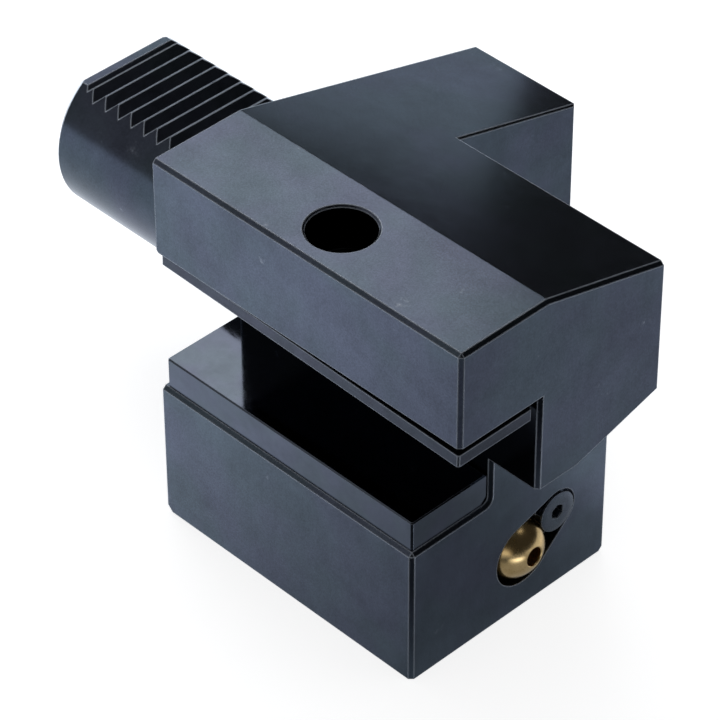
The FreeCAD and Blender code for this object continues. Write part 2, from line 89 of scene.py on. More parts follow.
class Term:
    """One number of a shader, with arithmetic that adds Math nodes."""

    def __init__(self, graph: "Graph", socket: bpy.types.NodeSocket) -> None:
        """Keeps the graph and the socket that carries the number."""
        self.graph = graph
        self.socket = socket

    def math(self, operation: str, *others: "Term | float", swap: bool = False) -> "Term":
        """Adds one Math node.

        Args:
            operation: the Math node's operation.
            others: the other operands, terms or plain numbers.
            swap: puts this term last, for the reflected forms.

        Returns:
            The node's result as a term.
        """
        operands = [*others, self] if swap else [self, *others]
        node = self.graph.node("ShaderNodeMath", {"operation": operation}, dict(enumerate(operands)))
        return Term(self.graph, node.outputs[0])

    def __add__(self, other: "Term | float") -> "Term":
        """Sum."""
        return self.math("ADD", other)

    __radd__ = __add__

    def __sub__(self, other: "Term | float") -> "Term":
        """Difference."""
        return self.math("SUBTRACT", other)

    def __rsub__(self, other: float) -> "Term":
        """Difference from a plain number."""
        return self.math("SUBTRACT", other, swap=True)

    def __mul__(self, other: "Term | float") -> "Term":
        """Product."""
        return self.math("MULTIPLY", other)

    __rmul__ = __mul__

    def __pow__(self, other: float) -> "Term":
        """Power."""
        return self.math("POWER", other)

    def step(self, low: float, high: float) -> "Term":
        """Smooth step from 0 at low to 1 at high."""
        node = self.graph.node("ShaderNodeMapRange", {"interpolation_type": "SMOOTHSTEP"}, {
            "Value": self, "From Min": low, "From Max": high, "To Min": 0.0, "To Max": 1.0})
        return Term(self.graph, node.outputs["Result"])


class Graph:
    """The node tree of one material or world, emptied and rebuilt by its owner."""

    def __init__(self, owner: bpy.types.ID, output: str = "ShaderNodeOutputMaterial",
                 shader: str = "ShaderNodeBsdfPrincipled") -> None:
        """Empties the owner's tree and adds its output and its main shader.

        Args:
            owner: the material or the world.
            output: the output node's type.
            shader: the main shader's type.
        """
        owner.use_nodes = True
        self.tree = owner.node_tree
        self.tree.nodes.clear()
        self.output = self.node(output)
        self.shader = self.node(shader)
        self.tree.links.new(self.shader.outputs[0], self.output.inputs["Surface"])
        spot = "Object" if output == "ShaderNodeOutputMaterial" else "Generated"
        self.place = self.node("ShaderNodeTexCoord").outputs[spot]

    def node(self, kind: str, settings: Mapping | None = None,
             sockets: Mapping | None = None) -> bpy.types.Node:
        """Adds a node.

        Args:
            kind: the node's type.
            settings: properties that are set first.
            sockets: values, terms or sockets for the inputs, by name or number.

        Returns:
            The new node.
        """
        made = self.tree.nodes.new(kind)
        for name, value in (settings or {}).items():
            setattr(made, name, value)
        for name, value in (sockets or {}).items():
            self.feed(made.inputs[name], value)
        return made

    def feed(self, target: bpy.types.NodeSocket, value: object) -> None:
        """Links or sets one input socket."""
        if isinstance(value, Term):
            self.tree.links.new(value.socket, target)
        elif isinstance(value, bpy.types.NodeSocket):
            self.tree.links.new(value, target)
        elif isinstance(value, tuple) and len(value) == 3 and target.type == "RGBA":
            target.default_value = (*value, 1.0)
        else:
            target.default_value = value

    def noise(self, size: float, stretch: Triple = (1.0, 1.0, 1.0), detail: float = 3.0,
              shift: float = 0.0) -> Term:
        """Cloudy noise on the piece's own coordinates.

        Args:
            size: the width of one cloud in metres.
            stretch: how many times longer the clouds are along each axis.
            detail: octaves of finer noise.
            shift: moves the pattern, so that two of one size differ.

        Returns:
            The noise as a term of about 0 to 1.
        """
        scale = tuple(1.0 / (size * factor) for factor in stretch)
        mapping = self.node("ShaderNodeMapping", None, {
            "Vector": self.place, "Scale": scale, "Location": (shift, shift, shift)})
        made = self.node("ShaderNodeTexNoise", None, {
            "Vector": mapping.outputs[0], "Scale": 1.0, "Detail": detail, "Roughness": 0.55})
        return Term(self, made.outputs[0])

    def mix(self, share: Term | float, first: object, second: object) -> bpy.types.NodeSocket:
        """Mixes two colours and returns the result's socket."""
        made = self.node("ShaderNodeMix", {"data_type": "RGBA"}, {0: share, 6: first, 7: second})
        return made.outputs[2]

    def scale(self, colour: object, tone: Term) -> bpy.types.NodeSocket:
        """Scales a colour by a term and returns the result's socket."""
        made = self.node("ShaderNodeVectorMath", {"operation": "SCALE"}, {0: colour, "Scale": tone})
        return made.outputs[0]

    def axes(self) -> tuple[Term, Term, Term]:
        """The three object coordinates as terms."""
        split = self.node("ShaderNodeSeparateXYZ", None, {0: self.place})
        return tuple(Term(self, socket) for socket in split.outputs)

    def soft_normal(self, radius: float) -> bpy.types.NodeSocket:
        """Normal with the sharp edges rounded over a radius."""
        return self.node("ShaderNodeBevel", {"samples": 6}, {"Radius": radius}).outputs[0]

    def edge(self, radius: float) -> Term:
        """How near an edge the surface is, from 0 on the flat to about 0.3 on a square edge."""
        here = self.node("ShaderNodeNewGeometry").outputs["Normal"]
        facing = self.node("ShaderNodeVectorMath", {"operation": "DOT_PRODUCT"}, {
            0: self.soft_normal(radius), 1: here})
        return 1.0 - Term(self, facing.outputs["Value"])

    def bump(self, height: Term, distance: float, normal: bpy.types.NodeSocket | None = None) -> None:
        """Feeds the shader's normal from a height in metres at full strength."""
        sockets = {"Height": height, "Distance": distance, "Strength": 1.0}
        if normal is not None:
            sockets["Normal"] = normal
        self.feed(self.shader.inputs["Normal"], self.node("ShaderNodeBump", None, sockets).outputs[0])


def distance_from(centre: Span, x: Term, y: Term) -> Term:
    """Level distance from a centre: the root of the sum of the squares."""
    return ((x - centre[0]) ** 2.0 + (y - centre[1]) ** 2.0) ** 0.5


@dataclass(frozen=True)
class DarkZones:
    """Where the holder body is painted darker than its head: painted shade in the clamp bore and on the
    slot's wall, and a darker shank.

    Each span runs from the place where a zone's edge begins to the place where it is full.
    """

    bore_centre: Span = (41.8 * MM, -34.3 * MM)
    bore_edge: Span = (7.2144 * MM, 7.3008 * MM)
    # Painted shade inside the clamp bore: the colour falls to this share of its tone.
    bore_shade_tone: float = 0.04
    wall_left: Span = (-23.75 * MM, -23.60 * MM)
    wall_right: Span = (-22.60 * MM, -22.70 * MM)
    wall_top: Span = (22.6 * MM, 22.4 * MM)
    wall_bottom: Span = (-12.4 * MM, -12.2 * MM)
    wall_rear: Span = (0.3 * MM, 0.8 * MM)
    # Painted shade on the slot's wall.
    wall_shade_tone: float = 0.2
    shank_end: Span = (-0.4 * MM, -0.1 * MM)
    shank_tone: float = 0.74

    def tone(self, graph: Graph) -> Term:
        """The factor on the colour: 1 on the head and each zone's tone within the zone, which paints shade
        into the bore and onto the wall.
        """
        x, y, z = graph.axes()
        outside = distance_from(self.bore_centre, x, y).step(*self.bore_edge)
        wall = y.step(*self.wall_left) * y.step(*self.wall_right) * z.step(*self.wall_top)
        wall = wall * z.step(*self.wall_bottom) * x.step(*self.wall_rear)
        head = x.step(*self.shank_end)
        # Painted shade in the bore and on the wall; the shank is darker than the head.
        bore_shade_factor = self.bore_shade_tone + (1.0 - self.bore_shade_tone) * outside
        wall_shade_factor = 1.0 - (1.0 - self.wall_shade_tone) * wall
        return bore_shade_factor * wall_shade_factor * (self.shank_tone + (1.0 - self.shank_tone) * head)


@dataclass(frozen=True)
class BlackOxide:
    """Blackened steel: a blue-grey metal sheen with clouds, tool streaks and bare worn edges."""

    name: str
    tint: Colour = (0.094, 0.107, 0.149)
    green_tint: Colour = (0.086, 0.110, 0.137)
    hue_span: Span = (0.36, 0.64)
    roughness: float = 0.21
    cloud_roughness: float = 0.08
    grain_roughness: float = 0.05
    worn_roughness: float = 0.2
    clouds: float = 0.58
    cloud_size: float = 13.0 * MM
    fine_clouds: float = 0.6
    fine_cloud_share: float = 0.28
    streaks: float = 0.12
    streak_size: float = 1.2 * MM
    broad_streak_size: float = 6.0 * MM
    lay: Triple = (1.0, 1.0, 22.0)
    broad_lay: Triple = (1.0, 1.0, 9.0)
    grain: float = 0.75
    grain_size: float = 0.35 * MM
    grain_depth: float = 0.003 * MM
    edge_radius: float = 0.40 * MM
    soft_share: float = 0.7
    edge_tint: Colour = (0.42, 0.46, 0.53)
    edge_wear: float = 0.95
    bare_dulling: float = 0.6
    edge_span: Span = (0.011, 0.030)
    chip_size: float = 0.9 * MM
    chips: float = 0.026
    rub_size: float = 6.0 * MM
    rubs: float = 0.050
    # Zones painted darker: painted shade in the bore and on the wall, and a darker shank; the body only.
    dark_zones: DarkZones | None = None

    def build(self) -> bpy.types.Material:
        """Makes the material.

        Returns:
            The material, whose tone is the tint times one plus its weighted noises, times the painted shade
            of its dark zones where it has them, mixed to the bare tint where the edge term passes a
            threshold that a noise moves.
        """
        material = bpy.data.materials.new(self.name)
        graph = Graph(material)
        clouds = graph.noise(self.cloud_size, detail=4.0)
        fine_clouds = graph.noise(self.cloud_size * self.fine_cloud_share, detail=3.0, shift=4.1)
        streaks = graph.noise(self.streak_size, stretch=self.lay, detail=2.0, shift=2.3)
        broad_streaks = graph.noise(self.broad_streak_size, stretch=self.broad_lay, detail=1.0, shift=7.7)
        grain = graph.noise(self.grain_size, detail=1.0, shift=1.7)
        tone = 1.0 + self.clouds * (clouds - 0.5) + self.fine_clouds * self.clouds * (fine_clouds - 0.5)
        tone = tone + self.streaks * (streaks - 0.5) + self.streaks * (broad_streaks - 0.5)
        tone = tone + self.grain * (grain - 0.5)
        # The colour is multiplied by the painted shade of the dark zones.
        if self.dark_zones:
            tone = tone * self.dark_zones.tone(graph)
        hue = graph.noise(self.cloud_size * 1.6, detail=2.0, shift=12.6).step(*self.hue_span)
        steel = graph.scale(graph.mix(hue, self.tint, self.green_tint), tone)
        chips = graph.noise(self.chip_size, detail=3.0, shift=9.2)
        rubbing = graph.noise(self.rub_size, detail=2.0, shift=6.5)
        edge = graph.edge(self.edge_radius) + self.chips * (chips - 0.5) + self.rubs * (rubbing - 0.5)
        worn = edge.step(*self.edge_span) * self.edge_wear
        graph.feed(graph.shader.inputs["Base Color"], graph.mix(worn, steel, self.edge_tint))
        graph.feed(graph.shader.inputs["Metallic"], 1.0 - self.bare_dulling * worn)
        rough = self.roughness + self.cloud_roughness * (fine_clouds - 0.5)
        rough = rough + self.grain_roughness * (grain - 0.5) + self.worn_roughness * worn
        graph.feed(graph.shader.inputs["Roughness"], rough)
        soft_normal = graph.soft_normal(self.edge_radius * self.soft_share)
        graph.bump(grain + 0.6 * streaks, self.grain_depth, soft_normal)
        return material


@dataclass(frozen=True)
class TurnedMetal:
    """Bright metal from the lathe, with soft scuffs, dark specks and fine rings of tool marks."""

    name: str
    tint: Colour
    dull_tint: Colour
    roughness: float = 0.22
    scuffs: float = 0.5
    scuff_span: Span = (0.42, 0.75)
    cloud_size: float = 3.5 * MM
    specks: float = 0.55
    speck_span: Span = (0.62, 0.74)
    speck_size: float = 0.6 * MM
    scratch_size: float = 0.3 * MM
    mark_depth: float = 0.003 * MM

    def build(self) -> bpy.types.Material:
        """Makes the material.

        Returns:
            The material: the tint, mixed to the dull one by cloudy scuffs and by specks.
        """
        material = bpy.data.materials.new(self.name)
        graph = Graph(material)
        clouds = graph.noise(self.cloud_size, detail=4.0)
        specks = graph.noise(self.speck_size, detail=2.0, shift=3.4)
        scratches = graph.noise(self.scratch_size, stretch=(1.0, 9.0, 2.0), detail=2.0, shift=5.9)
        dull = self.scuffs * clouds.step(*self.scuff_span) + self.specks * specks.step(*self.speck_span)
        graph.feed(graph.shader.inputs["Base Color"], graph.mix(dull, self.tint, self.dull_tint))
        graph.shader.inputs["Metallic"].default_value = 1.0
        graph.feed(graph.shader.inputs["Roughness"], self.roughness + 0.16 * (clouds - 0.5) + 0.1 * dull)
        graph.bump(scratches + specks, self.mark_depth)
        return material


@dataclass(frozen=True)
class Rubber:
    """Matt black seal rubber with a light bloom."""

    name: str
    tint: Colour = (0.018, 0.018, 0.020)
    bloom: Colour = (0.050, 0.050, 0.054)
    bloom_span: Span = (0.45, 0.8)
    roughness: float = 0.55
    cloud_size: float = 2.0 * MM
    grain_size: float = 0.2 * MM
    grain_depth: float = 0.004 * MM

    def build(self) -> bpy.types.Material:
        """Makes the material, whose bloom follows a cloudy noise."""
        material = bpy.data.materials.new(self.name)
        graph = Graph(material)
        clouds = graph.noise(self.cloud_size, detail=4.0)
        bloomed = clouds.step(*self.bloom_span)
        graph.feed(graph.shader.inputs["Base Color"], graph.mix(bloomed, self.tint, self.bloom))
        graph.feed(graph.shader.inputs["Roughness"], self.roughness + 0.2 * (clouds - 0.5))
        graph.bump(graph.noise(self.grain_size, detail=2.0), self.grain_depth)
        return material


# The body carries painted shade in its clamp bore and on the slot's wall, and a darker shank.
BODY_FINISH = BlackOxide("black_oxide_body", dark_zones=DarkZones())
PAD_FINISH = BlackOxide(
    "black_oxide_lapped", tint=(0.106, 0.119, 0.158), green_tint=(0.101, 0.121, 0.148), roughness=0.075,
    clouds=0.42, cloud_size=6.0 * MM, streaks=0.04, grain=0.05, grain_depth=0.0008 * MM,
    edge_radius=0.18 * MM, edge_tint=(0.22, 0.25, 0.30), edge_wear=0.6)
PLATE_FINISH = BlackOxide(
    "black_oxide_sawn", tint=(0.062, 0.067, 0.091), green_tint=(0.058, 0.067, 0.086), roughness=0.33,
    clouds=0.60, cloud_size=4.0 * MM, streaks=0.55, lay=(9.0, 9.0, 0.5), grain=0.80, grain_depth=0.012 * MM)
SCREW_FINISH = BlackOxide(
    "black_oxide_screw", tint=(0.100, 0.112, 0.142), green_tint=(0.094, 0.112, 0.134), roughness=0.27,
    clouds=0.4, cloud_size=3.0 * MM, streaks=0.05, edge_radius=0.12 * MM)
# The clamp screw sits deep in its bore: its black oxide is painted nearly black as painted shade, with dark
# edges.
SHADED_SCREW_FINISH = BlackOxide(
    "black_oxide_painted_shade", tint=(0.012, 0.013, 0.016), green_tint=(0.010, 0.013, 0.015), roughness=0.30,
    clouds=0.4, cloud_size=3.0 * MM, streaks=0.05, edge_radius=0.10 * MM, edge_tint=(0.03, 0.03, 0.035))
BRASS_FINISH = TurnedMetal("turned_brass", (0.98, 0.69, 0.32), (0.62, 0.39, 0.12))
BRIGHT_FINISH = TurnedMetal("ground_steel", (0.58, 0.59, 0.61), (0.38, 0.39, 0.41), roughness=0.25)
RUBBER_FINISH = Rubber("seal_rubber_matt")


class Heading(Enum):
    """The way that a turned piece's outer end faces, along one axis of the frame."""

    FORWARD = (1.0, 0.0, 0.0)
    REARWARD = (-1.0, 0.0, 0.0)
    RIGHT = (0.0, 1.0, 0.0)
    UP = (0.0, 0.0, 1.0)
    DOWN = (0.0, 0.0, -1.0)

    @property
    def vector(self) -> Vector:
        """The direction as a vector."""
        return Vector(self.value)


@dataclass(frozen=True)
class Seat:
    """Where a turned piece sits: its outer end's centre, its heading, its length and its radius."""

    centre: Vector
    heading: Vector
    length: float
    radius: float

    @classmethod
    def of(cls, node: str, heading: Heading) -> "Seat":
        """Reads the seat of a CAD node from its box.

        Args:
            node: the node's name.
            heading: the way its outer end faces.

        Returns:
            The seat, with the centre on the box's outer face.
        """
        low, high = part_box(node)
        size = high - low
        along = heading.vector
        length = sum(abs(a) * s for a, s in zip(along, size))
        across = max(s for a, s in zip(along, size) if abs(a) < 0.5)
        centre = (low + high) / 2 + along * length / 2
        return cls(centre, along, length, across / 2)

    def place(self, axial: np.ndarray, radial: np.ndarray, angle: np.ndarray) -> np.ndarray:
        """Points from cylinder coordinates.

        Args:
            axial: distance inwards from the outer end.
            radial: distance from the axis.
            angle: turn about the axis.

        Returns:
            An array of points: centre minus axial times heading, plus radial times the turned side vector.
        """
        along = np.array(self.heading)
        helper = np.array((0.0, 0.0, 1.0)) if abs(along[2]) < 0.9 else np.array((1.0, 0.0, 0.0))
        side = np.cross(helper, along)
        side = side / np.linalg.norm(side)
        other = np.cross(along, side)
        spoke = np.cos(angle)[..., None] * side + np.sin(angle)[..., None] * other
        return np.array(self.centre) - axial[..., None] * along + radial[..., None] * spoke


def grid_faces(rows: int, columns: int, wrap_rows: bool) -> np.ndarray:
    """Quads over a grid whose columns wrap round.

    Args:
        rows: how many rows of points.
        columns: how many points a row.
        wrap_rows: whether the last row joins the first.

    Returns:
        An array of corner numbers, four a face.
    """
    row_count = rows if wrap_rows else rows - 1
    row, column = np.meshgrid(np.arange(row_count), np.arange(columns), indexing="ij")
    next_row = (row + 1) % rows
    next_column = (column + 1) % columns
    corners = (row * columns + column, row * columns + next_column,
               next_row * columns + next_column, next_row * columns + column)
    return np.stack(corners, axis=-1).reshape(-1, 4)


def make_object(name: str, points: np.ndarray, faces: list, sharp_degrees: float) -> bpy.types.Object:
    """Makes a mesh object at the origin, smooth except over sharp edges.

    Args:
        name: the piece's name.
        points: an array of points, three numbers each.
        faces: lists of corner numbers.
        sharp_degrees: the angle above which an edge stays sharp.

    Returns:
        The linked object.
    """
    mesh = bpy.data.meshes.new(name)
    mesh.from_pydata(points.tolist(), [], faces)
    mesh.validate()
    mesh.shade_smooth()
    mesh.set_sharp_from_angle(angle=math.radians(sharp_degrees))
    piece = bpy.data.objects.new(name, mesh)
    bpy.context.scene.collection.objects.link(piece)
    return piece


def turned_piece(name: str, seat: Seat, axial: np.ndarray, radial: np.ndarray, closed: bool,
                 sharp_degrees: float = 34.0) -> bpy.types.Object:
    """Makes a piece from a profile turned about its seat's axis.

    Args:
        name: the piece's name.
        seat: where it sits.
        axial: the depth of each grid point below the outer end.
        radial: the radius of each grid point.
        closed: whether the profile is a closed loop; an open one gets a pole at each end.
        sharp_degrees: the angle above which an edge stays sharp.

    Returns:
        The piece.
    """
    rows, columns = radial.shape
    angle = np.broadcast_to(np.linspace(0, 2 * np.pi, columns, endpoint=False), radial.shape)
    points = seat.place(axial, radial, angle).reshape(-1, 3)
    faces = grid_faces(rows, columns, closed).tolist()
    if not closed:
        poles = seat.place(axial[[0, -1], 0], np.zeros(2), np.zeros(2))
        points = np.vstack((points, poles))
        first, last = rows * columns, rows * columns + 1
        ring = np.arange(columns)
        following = (ring + 1) % columns
        start = (rows - 1) * columns
        faces += np.stack((np.full(columns, first), following, ring), axis=-1).tolist()
        faces += np.stack((np.full(columns, last), start + ring, start + following), axis=-1).tolist()
    piece = make_object(name, points, faces, sharp_degrees)
    face_outwards(piece)
    return piece


def face_outwards(piece: bpy.types.Object) -> None:
    """Turns a closed piece's faces outwards if its signed volume is negative."""
    mesh = piece.data
    mesh.calc_loop_triangles()
    corners = np.empty(len(mesh.loop_triangles) * 3, np.int32)
    mesh.loop_triangles.foreach_get("vertices", corners)
    places = np.empty(len(mesh.vertices) * 3, np.float32)
    mesh.vertices.foreach_get("co", places)
    triangles = places.reshape(-1, 3)[corners.reshape(-1, 3)].astype(float)
    triangles = triangles - triangles.mean(axis=(0, 1))
    volume = np.einsum("ij,ij->i", triangles[:, 0], np.cross(triangles[:, 1], triangles[:, 2])).sum()
    if volume < 0:
        mesh.flip_normals()


def hexagon_reach(angle: np.ndarray) -> np.ndarray:
    """Distance to a unit hexagon's side: one over the cosine of the angle from the nearest side's middle."""
    sixth = np.pi / 3
    return 1.0 / np.cos((angle + sixth / 2) % sixth - sixth / 2)


@dataclass
class SocketScrew:
    """A turned screw or plug with a hexagonal key socket, and a thread or a knurl where it has one.

    The profile runs from the socket's floor outwards, over the rim, down the side to the inner end. Each
    station is (depth, radius, hexagon share), and a station's radius is the mix of the round radius and
    the hexagon's reach by that share. A thread whose end is infinite runs out at the inner end.
    """

    name: str
    node: str
    body: str
    heading: Heading
    key_width: float
    socket_depth: float
    rim: float = 0.4 * MM
    thread_start: float = 0.0
    thread_end: float = 0.0
    thread_pitch: float = 1.5 * MM
    thread_depth: float = 0.55 * MM
    stem_radius: float = 0.0
    head_height: float = 0.0
    taper: float = 0.0
    knurls: int = 0
    knurl_depth: float = 0.0
    knurl_slope: float = 0.9
    columns: int = 96
    rows_a_pitch: int = 10
    plain_step: float = 1.2 * MM
    slot: str = "screw_steel"
    finish: BlackOxide = SCREW_FINISH

    def stations(self, seat: Seat) -> list[tuple[float, float, float]]:
        """The profile's corner stations from the socket to the inner end.

        Args:
            seat: where the screw sits.

        Returns:
            Depth, radius and hexagon share of each station.
        """
        half_key = self.key_width / 2
        ease = self.key_width * 0.06
        rim = self.rim
        # The drill's point, the floor's corner, the hexagon's lower and upper end, and the mouth.
        socket = [
            (self.socket_depth + half_key * 0.35, half_key * 0.04, 0.0),
            (self.socket_depth, half_key * 0.92, 0.4),
            (self.socket_depth - ease, half_key, 1.0),
            (ease, half_key, 1.0),
            (0.0, half_key + ease, 0.55),
        ]
        outer = [
            (0.0, seat.radius - rim, 0.0),
            (rim * 0.3, seat.radius - rim * 0.3, 0.0),
            (rim, seat.radius, 0.0),
        ]
        if not self.stem_radius:
            end = [(seat.length - rim, seat.radius, 0.0), (seat.length, seat.radius - rim, 0.0)]
            return socket + outer + end
        shoulder = self.head_height + self.taper
        head = [(self.head_height, seat.radius, 0.0), (shoulder, self.stem_radius, 0.0)]
        tip = [(seat.length - rim, self.stem_radius, 0.0), (seat.length, self.stem_radius - rim, 0.0)]
        return socket + outer + head + tip

    def profile(self, seat: Seat) -> tuple[np.ndarray, np.ndarray, np.ndarray]:
        """Fills the stations with rows, close together where there is a thread or a knurl.

        Args:
            seat: where the screw sits.

        Returns:
            Depth, radius and hexagon share of each row.
        """
        rows: list[np.ndarray] = []
        corners = np.array(self.stations(seat))
        for start, end in zip(corners[:-1], corners[1:]):
            span = abs(end[0] - start[0])
            threaded = self.thread_end > self.thread_start and span > self.thread_pitch
            step = self.thread_pitch / self.rows_a_pitch if threaded else self.plain_step
            count = max(1, math.ceil(max(span, abs(end[1] - start[1]) * 0.6) / step))
            share = np.arange(count)[:, None] / count
            rows.append(start + (end - start) * share)
        rows.append(corners[-1:])
        table = np.vstack(rows)
        return table[:, 0], table[:, 1], table[:, 2]

    def cut_depth(self, depth: np.ndarray, angle: np.ndarray, seat: Seat, outer: np.ndarray) -> np.ndarray:
        """How far the thread and the knurl cut in.

        The thread is a rounded V that follows depth over pitch plus turn, and fades out at both ends. The
        knurl is two crossing families of waves along the head's side.

        Args:
            depth: the depth of each grid point.
            angle: the turn of each grid point.
            seat: where the screw sits.
            outer: 1 on the outer side, 0 in the socket.

        Returns:
            The cut's depth at each grid point.
        """
        cut = np.zeros_like(depth)
        if self.thread_end > self.thread_start:
            phase = (depth / self.thread_pitch + angle / (2 * np.pi)) % 1.0
            groove = np.clip(1.15 - 2.3 * np.abs(phase - 0.5), 0.0, 1.0) ** 1.15
            fade_in = np.clip((depth - self.thread_start) / self.thread_pitch, 0.0, 1.0)
            fade_out = np.clip((self.thread_end - depth) / self.thread_pitch, 0.0, 1.0)
            cut = cut + self.thread_depth * groove * fade_in * fade_out
        if self.knurls:
            shear = depth / seat.radius * self.knurl_slope
            right_hand = np.abs(np.sin(self.knurls / 2 * (angle + shear)))
            left_hand = np.abs(np.sin(self.knurls / 2 * (angle - shear)))
            below_rim = np.clip((depth - self.rim) / self.rim, 0.0, 1.0)
            above_root = np.clip((self.head_height - depth) / self.rim, 0.0, 1.0)
            cut = cut + self.knurl_depth * (1 - np.minimum(right_hand, left_hand)) * below_rim * above_root
        return cut * outer

    def build(self) -> bpy.types.Object:
        """Makes the screw in place of its CAD node.

        Returns:
            The piece, dressed and riding on its body.
        """
        seat = Seat.of(self.node, self.heading)
        depth, radius, share = self.profile(seat)
        angle = np.linspace(0, 2 * np.pi, self.columns, endpoint=False)
        depths = np.repeat(depth[:, None], self.columns, axis=1)
        angles = np.broadcast_to(angle, depths.shape)
        reach = 1.0 + share[:, None] * (hexagon_reach(angle)[None, :] - 1.0)
        outer_row = int(np.argmax(radius >= seat.radius - self.rim * 1.01))
        outer = (np.arange(len(depth)) >= outer_row).astype(float)[:, None]
        radial = radius[:, None] * reach - self.cut_depth(depths, angles, seat, outer)
        piece = turned_piece(self.name, seat, depths, radial, closed=False)
        dress(piece, self.finish, self.body)
        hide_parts(self.node)
        return piece


@dataclass
class ClampScrew(SocketScrew):
    """The clamp screw: a threaded plug above a neck with a ball tip, all on one axis."""

    ball_radius: float = 3.2 * MM
    neck_radius: float = 2.2 * MM
    body_length: float = 8.6 * MM
    ball_rows: int = 14
    ball_end: float = 0.97 * math.pi

    def stations(self, seat: Seat) -> list[tuple[float, float, float]]:
        """The plug's stations, then the neck and an arc round the ball tip."""
        plug = super().stations(Seat(seat.centre, seat.heading, self.body_length, seat.radius))
        ball_depth = seat.length - self.ball_radius
        first = math.asin(self.neck_radius / self.ball_radius)
        turns = np.linspace(first, self.ball_end, self.ball_rows)
        depths = ball_depth - self.ball_radius * np.cos(turns)
        radii = self.ball_radius * np.sin(turns)
        ball = [(depth, radius, 0.0) for depth, radius in zip(depths, radii)]
        return plug + [(self.body_length, self.neck_radius, 0.0)] + ball


@dataclass
class CoolantNozzle:
    """The brass ball with its jet bore and eased mouth, set on the tilt joint of the seat that it swivels
    in.
    """

    tilt_degrees: float = 4.0
    bore_radius: float = 2.1 * MM
    mouth_ease: float = 0.25 * MM
    funnel_radius: float = 4.6 * MM
    funnel_depth: float = 3.2 * MM
    sphere_rows: int = 72
    ease_rows: int = 4
    bore_rows: int = 8
    columns: int = 128

    def tilt_joint(self) -> dict:
        """The joint that the ball tilts on."""
        return next(joint for joint in frame["joints"] if joint["name"] == "nozzle_tilt")

    def jet(self) -> Vector:
        """The jet's direction: the shank's direction turned about the tilt joint's axis."""
        axis = Vector(self.tilt_joint()["axis"])
        return Matrix.Rotation(math.radians(self.tilt_degrees), 3, axis) @ Heading.FORWARD.vector

    def build(self) -> list[bpy.types.Object]:
        """Makes the ball as a closed profile: sphere arc, eased mouth, bore and rear funnel.

        Returns:
            The pieces of the nozzle.
        """
        low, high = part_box("ball_nozzle")
        radius = (high.y - low.y) / 2
        centre = Vector(self.tilt_joint()["pos_m"])
        seat = Seat(centre + self.jet() * radius, self.jet(), 2 * radius, radius)
        mouth = math.asin((self.bore_radius + self.mouth_ease) / radius)
        back = math.pi - math.asin(self.funnel_radius / radius)
        arc = np.linspace(mouth, back, self.sphere_rows)
        sphere = np.stack((radius - radius * np.cos(arc), radius * np.sin(arc)), axis=-1)
        turn = np.linspace(0, math.pi / 2, self.ease_rows + 1)[1:]
        mouth_depth = sphere[0, 0]
        ease = np.stack((mouth_depth + self.mouth_ease * (1 - np.cos(turn)),
                         self.bore_radius + self.mouth_ease * (1 - np.sin(turn))), axis=-1)[::-1]
        funnel_start = 2 * radius - self.funnel_depth
        bore_depths = np.linspace(funnel_start, ease[0, 0] + self.mouth_ease, self.bore_rows)
        bore = np.stack((bore_depths, np.full(self.bore_rows, self.bore_radius)), axis=-1)
        profile = np.vstack((sphere, bore, ease))
        axial = np.repeat(profile[:, :1], self.columns, axis=1)
        radial = np.repeat(profile[:, 1:], self.columns, axis=1)
        ball = turned_piece("nozzle_ball_turned", seat, axial, radial, closed=True, sharp_degrees=50.0)
        dress(ball, BRASS_FINISH, "ball_nozzle")
        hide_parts("ball_nozzle")
        return [ball]


@dataclass
class SpringWasher:
    """The spring washer under the clamp screw: a thin ring that rises and falls three times a turn."""

    thickness: float = 0.22 * MM
    inner_share: float = 0.565
    waves: int = 3
    columns: int = 120

    def build(self) -> list[bpy.types.Object]:
        """Makes the washer.

        Returns:
            The piece: a closed section of four corners carried round, lifted by a sine of the angle.
        """
        seat = Seat.of("wave_washer", Heading.UP)
        inner = seat.radius * self.inner_share
        swing = (seat.length - self.thickness) / 2
        angle = np.linspace(0, 2 * np.pi, self.columns, endpoint=False)
        lift = swing * (1 - np.sin(self.waves * angle))
        depth = np.array((0.0, 0.0, self.thickness, self.thickness))[:, None] + lift
        corner_radii = np.array((inner, seat.radius, seat.radius, inner))[:, None]
        radial = np.repeat(corner_radii, self.columns, axis=1)
        piece = turned_piece("spring_washer_wavy", seat, depth, radial, closed=True)
        dress(piece, BRIGHT_FINISH, "clamp_carrier")
        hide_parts("wave_washer")
        return [piece]


